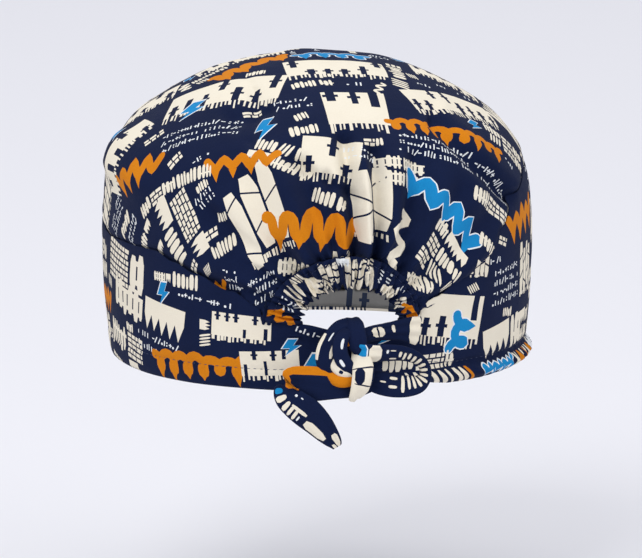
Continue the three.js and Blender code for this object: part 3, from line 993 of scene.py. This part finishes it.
def casing_side(out):
    """The casing's outer side with out above zero, else its inner side, from millimetres along and across."""

    def surface(uv):
        run = (0.5 + uv[:, 0]) / (CASING_LENGTH + 1.0)
        turn = np.pi * (1 - np.clip(run, 0, 1))
        past = np.maximum(np.maximum(-run, run - 1), 0) * CASING_LENGTH
        across = np.clip(uv[:, 1] / CASING_WIDTH, 0, 1)
        width = np.where(turn > np.pi / 2, CASING["left"], CASING["right"])
        in_x, in_z = OPENING["width"] * np.cos(turn), OPENING["height"] * np.sin(turn)
        out_x, out_z = (width + 0.2) * np.cos(turn), (CASING["height"] + 0.2) * np.sin(turn)
        wave = 0.6 * ruche(turn, 47, 1.0) + 0.5 * ruche(turn, 29, 4.4)
        mix = across + 0.14 * wave * (1 - across)
        x = OPENING["x"] + in_x + (out_x - in_x) * mix
        z = OPENING["z"] + in_z + (out_z - in_z) * mix - past
        row = row_at_height(z)
        deg = np.zeros(len(uv))
        for _ in range(10):
            p = plain_point(deg, row)
            deg = np.degrees(np.arcsin(np.clip(x / np.hypot(p[:, 0], p[:, 1]), -0.99, 0.99)))
        p = plain_point(deg, row)
        body = np.sqrt(np.clip(1 - np.abs(2 * across - 1) ** 3, 0, 1))
        stitched = 0.7 * ridge(across, 0.8, 0.05) + 0.45 * ridge(across, 0.24, 0.06)
        fine = 1.15 * ruche(turn + 0.07 * (across - 0.5), 64, 1.0)
        fine += 1.05 * ruche(turn - 0.1 * across, 43, 4.4)
        fine += 0.6 * ripple(columns(uv[:, 0] * 1.6, uv[:, 1] * 0.6, 0 * x), 1.6, 3)
        fine *= 1.15 - 0.75 * across
        if out > 0:
            lift = 1.5 * body - stitched * body - fine - gather_depth(p) * across + 0.1
        else:
            lift = -0.9 * body - 0.7 * fine - gather_depth(p) * across - 0.1
        return p + outward(p) * (lift - 0.2 - 2.0 * smooth(past / 1.5))[:, None]

    return surface


casing_outline = resample(box(-CASING_END, 0, CASING_LENGTH + 2 * CASING_END, CASING_WIDTH), 0.6)
CASING_PRINT = [
    # kind, along, across, width, height, turn, seed, ink if not the usual
    ("scrawl", 3, 7, 10, 9, 60, 3),
    ("marks", 10, 7, 10, 8, 80, 4),
    ("mid", 19, 8, 12, 9, 10, 4),
    ("mid", 28, 5, 9, 9, 70, 14),
    ("tall", 37, 8, 8, 10, 0, 5),
    ("tall", 48, 7, 9, 14, 0, 8),
    ("mid", 56, 6, 6, 11, 20, 18),
    ("marks", 63, 8, 9, 9, 90, 4),
    ("mid", 70, 4, 9, 7, 20, 9),
    ("marks", 75, 9, 9, 6, 10, 9),
    ("mid", 80, 5, 8, 8, 60, 10),
    ("tall", 33, 3, 5, 7, 8, 11),
    ("mid", 43, 11, 5, 4, 0, 12, WHITE),
    ("tall", 53.5, 11, 5, 6, 0, 13),
    ("mid", 66, 3, 5, 5, 0, 15),
    ("mid", 24, 11, 6, 4, 0, 16),
    ("mid", 14, 3, 6, 4, 20, 17),
    ("scrawl", 88, 6, 10, 8, 30, 5),
]
shapes = [shape for row in CASING_PRINT for shape in placed(*row)]
casing = cloth("casing", casing_outline, casing_side(1), shapes, 0.62, back=casing_side(-1), wrong=False)
stand_for(casing, "elastic_casing")

# ---- ties and knot
# x, y, z, across x, across y, across z, width, thickness
TAIL = [
    (8.5, -112.5, 7.6, 0, 0.12, 1, 10, 2.2),
    (4, -114.6, 6.8, 0, 0.12, 1, 11, 2.2),
    (-0.7, -116, 6.5, 0, 0.12, 1, 11.6, 2.2),
    (-8.4, -117.2, 6.9, 0, 0.12, 1, 13, 2.2),
    (-16.1, -117.8, 7.4, 0.05, 0.12, 1, 15, 2.2),
    (-22.3, -117.2, 7.6, 0.15, 0.1, 1, 15.4, 2.3),
    (-27, -116.4, 7.8, 0.38, 0.08, 0.92, 14, 2.4),
    (-29.7, -117.2, 5.6, 0.75, 0.03, 0.66, 12, 2.6),
    (-29.3, -119.6, 2, 0.9, 0, 0.43, 12, 2.6),
    (-26, -120.8, -1.2, 0.87, 0, 0.5, 13, 2.2),
    (-21.4, -120.6, -4.8, 0.86, 0, 0.52, 13.8, 2),
    (-16.6, -119.8, -9.4, 0.87, 0, 0.5, 12.4, 2),
    (-12.3, -119, -14.4, 0.88, 0, 0.48, 10, 2),
    (-9, -118.4, -18.4, 0.9, 0, 0.44, 7, 2),
    (-7.6, -118.2, -20.6, 0.9, 0, 0.44, 4.5, 1.8),
]
LOOP = [
    (0.5, -116, 21, 0, -0.3, 0.95, 8, 2.6),
    (3.9, -118.4, 20.9, 0, -0.3, 0.95, 8.6, 3),
    (9, -117.6, 20.4, 0, -0.35, 0.93, 8.6, 3),
    (15.6, -115.6, 20, 0, -0.4, 0.92, 8.4, 2.8),
    (21.9, -114.2, 19.2, 0.05, -0.5, 0.87, 8, 2.6),
    (27.8, -113.6, 17, 0.3, -0.65, 0.7, 7.2, 2.6),
    (31.4, -113.4, 13.4, 0.55, -0.8, 0.25, 6.8, 2.6),
    (31.9, -113.8, 9, 0.5, -0.85, -0.2, 7.2, 2.6),
    (29, -114.4, 5.8, 0.2, -0.6, -0.75, 8.6, 2.6),
    (24, -114.8, 4.8, 0, -0.4, -0.92, 9.6, 2.6),
    (18, -115, 5.2, 0, -0.3, -0.95, 10.4, 2.8),
    (12.6, -114.6, 6.2, 0, -0.25, -0.97, 10.2, 2.8),
    (7.8, -113.2, 7.4, 0, -0.25, -0.97, 9, 2.8),
]
WRAP = [
    (2.8, -114.5, 21, 0.97, 0, 0.1, 7, 2.4),
    (2.8, -119.4, 17.8, 0.97, 0, 0.12, 9, 3),
    (3.3, -122.2, 13.4, 0.97, 0, 0.18, 9.6, 3.2),
    (2.8, -122.6, 9.2, 0.95, 0, 0.26, 9.4, 3.2),
    (1.8, -121.6, 5.4, 0.92, 0, 0.34, 8.6, 3),
    (0.7, -119.4, 2.2, 0.9, 0, 0.4, 7.4, 2.8),
    (0.5, -116, 0.4, 0.9, 0, 0.4, 6, 2.2),
]
ROOT = [
    (31, -100.6, 26.4, -0.1, 0.1, 1, 13, 2),
    (27, -101.8, 27.3, -0.1, 0.1, 1, 11.5, 2),
    (23, -102.8, 27.6, -0.1, 0.1, 1, 9.6, 2.4),
    (17, -104.6, 27.4, -0.12, 0.2, 1, 7.8, 2.8),
    (10.5, -107.6, 27.4, -0.15, 0.3, 0.95, 7, 3),
    (5.5, -110.6, 26.6, -0.15, 0.3, 0.93, 6.8, 3),
    (1, -113.5, 25.2, -0.15, 0.3, 0.93, 6, 2.6),
]
# The strap over the top of the knot, and the turns and tucks that show on its left.
HOOD = [
    (-0.3, -104.5, 32.6, 0.97, -0.1, 0.15, 9.5, 2.2),
    (-0.2, -110.5, 31.8, 0.97, -0.1, 0.15, 10.4, 2.8),
    (0.2, -115, 29, 0.97, -0.15, 0.18, 10.2, 3),
    (1.2, -117.8, 25, 0.97, -0.15, 0.2, 9, 2.8),
    (2.6, -118, 21.5, 0.97, -0.1, 0.2, 6.5, 2.4),
    (3.4, -116.5, 19, 0.97, -0.1, 0.2, 5, 2),
]
OUTER_TURN = [
    (-1.5, -110, 32.2, 0.5, -0.3, -0.8, 6, 2.4),
    (-5.4, -112.8, 30.9, 0.7, -0.3, -0.6, 7.6, 2.8),
    (-9.2, -115, 27, 0.9, -0.2, -0.4, 8.4, 3),
    (-12, -116.4, 22.6, 0.98, -0.1, -0.2, 8.6, 3),
    (-12.9, -116.8, 18.3, 1, -0.1, 0, 8.2, 3),
    (-12, -116.6, 14.2, 0.95, -0.1, 0.3, 7.4, 2.8),
    (-9.2, -115.8, 10.6, 0.8, -0.1, 0.55, 6.4, 2.4),
]
INNER_TURN = [
    (-2.5, -115, 29.6, 0.7, -0.3, -0.6, 5, 2.4),
    (-5.2, -117.8, 27.8, 0.85, -0.2, -0.4, 6, 2.8),
    (-6.7, -119.6, 24.2, 0.97, -0.1, -0.1, 6.6, 3),
    (-6.2, -120.2, 19.6, 0.97, -0.1, 0.2, 6.8, 3),
    (-3.8, -120.4, 15.6, 0.85, -0.1, 0.5, 6.6, 3),
    (-0.6, -119.4, 12.6, 0.75, -0.1, 0.65, 5.6, 2.6),
]
PALE_TUCK = [
    (-10.6, -116.6, 17.6, 0.5, -0.2, 0.85, 3.6, 2),
    (-8.9, -118.4, 15.2, 0.45, -0.2, 0.88, 4.6, 2.4),
    (-6.3, -119.4, 13.2, 0.35, -0.2, 0.92, 5, 2.6),
    (-2.6, -119.2, 11.8, 0.2, -0.2, 0.96, 4.6, 2.4),
    (1, -117, 11.4, 0.1, -0.2, 0.97, 4, 2),
]
ORANGE_TUCK = [
    (-11.8, -116.4, 12, 0.6, -0.2, 0.78, 3.6, 2),
    (-9.6, -118, 9.8, 0.5, -0.2, 0.85, 5, 2.4),
    (-6.4, -119, 8.4, 0.2, -0.2, 0.96, 5.6, 2.6),
    (-2, -119, 8.6, -0.1, -0.2, 0.97, 5.2, 2.4),
    (1.5, -117, 9.4, -0.1, -0.2, 0.97, 4, 2),
]
# Patches of the straps' print: along, across, width, height, and the ink where it isn't cream.
TAIL_PATCHES = [
    (16, 3.9, 24, 4.5, ORANGE),
    (37, 0, 4, 8, ORANGE),
    (40.6, -6.5, 1.8, 4.5, BLUE),
    (43.2, -7, 1.7, 6.2),
    (45.8, -7, 1.5, 6),
    (48.2, -7, 1.5, 5.6),
    (50.6, -7, 1.4, 5.2),
    (48, -2.2, 8, 1.8),
    (53, -6.2, 0.9, 2.6, WHITE),
    (57.5, -6.8, 12.5, 4.8),
    (70.5, 0.2, 6, 5.4),
    (74.4, -5, 6, 4.4),
    (46, 3.2, 1.4, 1.4, WHITE),
    (49, 4.2, 1.2, 0.6, WHITE),
]
LOOP_PATCHES = [
    (1.6, -5, 4.2, 10, WHITE),
    (2.1, -5, 3.2, 10, BLUE),
    (6.2, -5, 5.8, 10),
    (14.2, 0.6, 1.2, 2.2, WHITE),
    (16.4, -3.2, 3.4, 1.2),
    (16.2, 2, 2.6, 0.8),
    (20.6, -1.4, 1.4, 3.6),
    (23, -3.4, 1.2, 5.6),
    (25.2, -1.8, 1.3, 4.8),
    (27.6, -4, 1.4, 6.8),
    (30, -4, 1.4, 8),
    (32.6, -4, 1.5, 8),
    (35.2, -4, 1.5, 8),
    (37.8, -4, 1.5, 8),
    (40.2, -4, 1.4, 8.4),
    (42.6, -4.6, 1.4, 7.6),
    (45, -4.8, 1.3, 7),
    (47.4, -4.9, 1.3, 6.8),
    (50.2, -4.6, 1.6, 7.8),
    (53.6, -3.6, 3.6, 1.3),
    (53.6, 0.2, 3.6, 1.3),
    (58.6, -1.2, 2.4, 0.8),
]
ROOT_PATCHES = [
    (0, -7, 5, 14),
    (12, -1, 1.6, 5),
    (17.6, -4, 6.6, 8),
    (20.4, -4, 1, 8, GROUND),
]
HOOD_PATCHES = [(5.5, -5.6, 11, 2, ORANGE)]
OUTER_PATCHES = [(11, -4.6, 10, 1.7), (6.5, 1.5, 14, 1.9), (9, -1.2, 4.2, 0.7, WHITE)]
INNER_PATCHES = [(5.5, 0.2, 4.4, 1.3, WHITE), (14.2, -1.6, 3.2, 1.5, WHITE)]
PALE_PATCHES = [(6.4, -0.8, 1.6, 1.6, GROUND)]
WRAP_PATCHES = [
    (9.8, -6, 0.6, 12, GROUND),
    (10.4, -3.7, 6.2, 4.4, GROUND),
    (10.4, 3.9, 9, 2, GROUND),
    (16.6, -3.7, 0.6, 8, GROUND),
]


def patches(rows):
    return [(soften(box(*row[:4]), 1), row[4] if len(row) > 4 else CREAM) for row in rows]


def strap_sides(table, crease, seed):
    """Flat strap to space. A position is millimetres along the middle line and across it."""
    last = len(table) - 1
    u = np.linspace(0, last, 400)

    def three(first, at):
        return np.stack([at_row(table, first + k, at) for k in range(3)], -1)

    middle = three(0, u)
    length = np.concatenate([[0], np.cumsum(np.linalg.norm(np.diff(middle, axis=0), axis=1))])
    half = max(row[6] for row in table) / 2

    def side(sign):
        def surface(uv):
            at = np.interp(uv[:, 0], length, u)
            near, across = three(0, at), three(3, at)
            along = unit(three(0, np.minimum(at + 0.04, last)) - three(0, np.maximum(at - 0.04, 0)))
            across = unit(across - along * (across * along).sum(1)[:, None])
            out = np.cross(along, across)
            t = np.clip(uv[:, 1] / half, -1, 1)
            width = at_row(table, 6, at) / 2
            thick = at_row(table, 7, at) / 2
            swell = thick * np.clip(1 - np.abs(t) ** 2.6, 0, 1) ** 0.5 + 0.1
            pleat = np.sin(uv[:, 1] * 1.15 + 0.25 * np.sin(uv[:, 0] / 4 + seed) * 3 + seed)
            dent = ripple(columns(uv[:, 0] * 0.8, uv[:, 1] * 1.5, 0 * t), 3.2, int(10 * seed) + 3)
            lift = crease * (0.55 * pleat + 0.45 * dent) * (1 - np.abs(t) ** 3)
            ends = np.minimum(uv[:, 0], length[-1] - uv[:, 0])
            lift *= 0.5 + 0.8 * np.exp(-ends / 9)
            return near + across * (width * t)[:, None] + out * (sign * swell + lift)[:, None]

        return surface

    return side, length[-1], half


def strap(name, table, rows, node, crease, seed, ink):
    """A strap whose printed face looks outwards whichever way its table runs."""
    side, length, half = strap_sides(table, crease, seed)
    middle = len(table) // 2
    run = np.subtract(table[middle + 1][:3], table[middle - 1][:3])
    facing = -1 if np.cross(run, table[middle][3:6])[1] > 0 else 1
    flip = np.array((1, facing))
    front, back = side(facing), side(-facing)
    outline = resample(box(0, -half, length, 2 * half), 0.8)[::facing] * flip
    shapes = [(shape * flip, colour) for shape, colour in patches(rows)]
    obj = cloth(
        name, outline, lambda uv: front(uv * flip), shapes, 0.8,
        back=lambda uv: back(uv * flip), ink=ink, wrong=False,
    )
    return stand_for(obj, node)


# name, table, print, CAD piece, depth of its creases, seed, ground colour
TIES = [
    ("tie_tail", TAIL, TAIL_PATCHES, "left_tie_tail", 0.45, 1.7, GROUND),
    ("tie_loop", LOOP, LOOP_PATCHES, "right_tie_loop", 0.5, 2.9, GROUND),
    ("tie_wrap", WRAP, WRAP_PATCHES, "knot_wrap", 0.35, 4.1, CREAM),
    ("tie_root", ROOT, ROOT_PATCHES, "right_tie_root", 0.6, 5.2, GROUND),
]
TURNS = [
    ("knot_hood", HOOD, HOOD_PATCHES, "knot_body", 0.5, 3.3, GROUND),
    ("knot_outer_turn", OUTER_TURN, OUTER_PATCHES, "knot_body", 0.55, 6.1, GROUND),
    ("knot_inner_turn", INNER_TURN, INNER_PATCHES, "knot_body", 0.45, 7.3, GROUND),
    ("knot_pale_tuck", PALE_TUCK, PALE_PATCHES, "knot_body", 0.3, 2.3, CREAM),
    ("knot_orange_tuck", ORANGE_TUCK, [], "knot_body", 0.3, 8.2, ORANGE),
]
straps = [strap(*row) for row in TIES]
bpy.ops.mesh.primitive_uv_sphere_add(segments=40, ring_count=24, location=(0, 0, 0))
lump = bpy.context.object
lump.name = lump.data.name = "knot_heart"
lump.data.transform(Matrix.Diagonal((0.0104, 0.0068, 0.0118, 1)))
lump.data.transform(Matrix.Translation((-0.0032, -0.1074, 0.0182)))
lump.data.uv_layers[0].name = "Cloth"
for corner in lump.data.uv_layers[0].data:
    corner.uv *= 60
lump.data.materials.append(INKS[GROUND])
lump.data.polygons.foreach_set("use_smooth", [True] * len(lump.data.polygons))
stand_for(lump, "knot_body")
straps += [strap(*row) for row in TURNS]

# ---- thread
THREAD = plain_material("thread_navy", (0.02, 0.035, 0.1), 0.6)


def stitches(name, surface, line, pitch, length):
    """A row of short threads lying on a surface along a line."""
    path, normals = surface(line), finite_normals(surface, line)
    travelled = np.concatenate([[0], np.cumsum(np.linalg.norm(np.diff(path, axis=0), axis=1))])

    def at_length(rows, at):
        return np.array([np.interp(at, travelled, rows[:, k]) for k in range(3)])

    verts, faces = [], []
    for at in np.arange(pitch / 2, travelled[-1], pitch):
        ends = [at_length(path, at + d) for d in (-length / 2, 0, length / 2)]
        out = at_length(normals, at)
        out /= np.linalg.norm(out)
        along = ends[2] - ends[0]
        along /= np.linalg.norm(along)
        side = np.cross(out, along)
        start = len(verts)
        for centre, radius, rise in zip(ends, (0.06, 0.15, 0.06), (-0.04, 0.1, -0.04)):
            for k in range(6):
                angle = math.pi * k / 3
                spot = centre + out * (rise + radius * math.sin(angle))
                verts.append((spot + side * radius * math.cos(angle)) * MM)
        for ring in (0, 6):
            for k in range(6):
                n = (k + 1) % 6
                faces.append((start + ring + k, start + ring + n, start + ring + 6 + n, start + ring + 6 + k))
        faces.append(tuple(start + k for k in range(5, -1, -1)))
        faces.append(tuple(start + 12 + k for k in range(6)))
    mesh = bpy.data.meshes.new(name)
    mesh.from_pydata([tuple(v) for v in verts], [], faces)
    mesh.polygons.foreach_set("use_smooth", np.ones(len(faces), bool))
    mesh.materials.append(THREAD)
    return stand_for(add(name, mesh), None)


turns = np.arange(BAND_FROM + 5, BAND_TO - 4, 0.5)
line = columns(turns * DEG_MM, side_height(HEM, from_back(turns)) + HEM_STITCHES)
hem_thread = stitches("hem_stitches", band_surface, line, 3.0, 2.3)
along = np.arange(2, CASING_LENGTH - 2, 0.4)
line = columns(along, np.full(len(along), CASING_WIDTH * 0.8))
casing_thread = stitches("casing_stitches", casing_side(1), line, 2.6, 1.9)

# ---- flat length and width of each strap, worked out here and not used further
for piece, (_, table, *_) in zip(straps, TIES + TURNS):
    _, length, half = strap_sides(table, 0, 0)
    mean = sum(row[6] for row in table) / len(table)
    size = (length * MM, max(2 * half, 10.2) * MM)

# ---- studio
FLOOR_Z = -0.11
bpy.ops.mesh.primitive_plane_add(size=30, location=(0, 0, FLOOR_Z))
floor = bpy.context.object
floor.name = "studio_floor"
floor.data.materials.append(plain_material("studio_floor", (0.82, 0.82, 0.855), 0.9))

world = bpy.data.worlds.new("studio")
world.use_nodes = True
world.node_tree.nodes["Background"].inputs["Color"].default_value = (0.93, 0.94, 1.0, 1)
world.node_tree.nodes["Background"].inputs["Strength"].default_value = 0.66
bpy.context.scene.world = world
bpy.context.scene.view_settings.view_transform = "Standard"

# name, place, size, power
LAMPS = [
    ("key", (-0.9, -1.3, 1.5), 1.0, 17),
    ("fill", (1.3, -1.2, 0.9), 1.4, 6),
    ("top", (0.1, 0.3, 1.9), 1.3, 4.5),
    ("backdrop", (0, 1.5, 2.0), 2.4, 13),
]
for name, place, size, power in LAMPS:
    data = bpy.data.lights.new(name, "AREA")
    data.size = size
    data.energy = power
    lamp = add(name, data)
    lamp.location = place
    lamp.rotation_euler = (Vector((0, 0, 0.06)) - Vector(place)).to_track_quat("-Z", "Y").to_euler()

AZIMUTH, ELEVATION, DISTANCE, PICTURE_WIDTH = math.radians(-8), math.radians(10.5), 9.0, 0.284
toward = Vector((
    math.sin(AZIMUTH) * math.cos(ELEVATION), -math.cos(AZIMUTH) * math.cos(ELEVATION), math.sin(ELEVATION),
))
right = Vector((math.cos(AZIMUTH), math.sin(AZIMUTH), 0))
up = toward.cross(right)
aim = right * 0.0018 + up * 0.0314
camera_data = bpy.data.cameras.new("camera")
camera_data.sensor_width = 36
camera_data.lens = 36 * DISTANCE / PICTURE_WIDTH
camera_data.clip_start = 0.05
camera_data.clip_end = 60
camera = add("camera", camera_data)
camera.location = aim + toward * DISTANCE
camera.rotation_euler = toward.to_track_quat("Z", "Y").to_euler()
bpy.context.scene.camera = camera
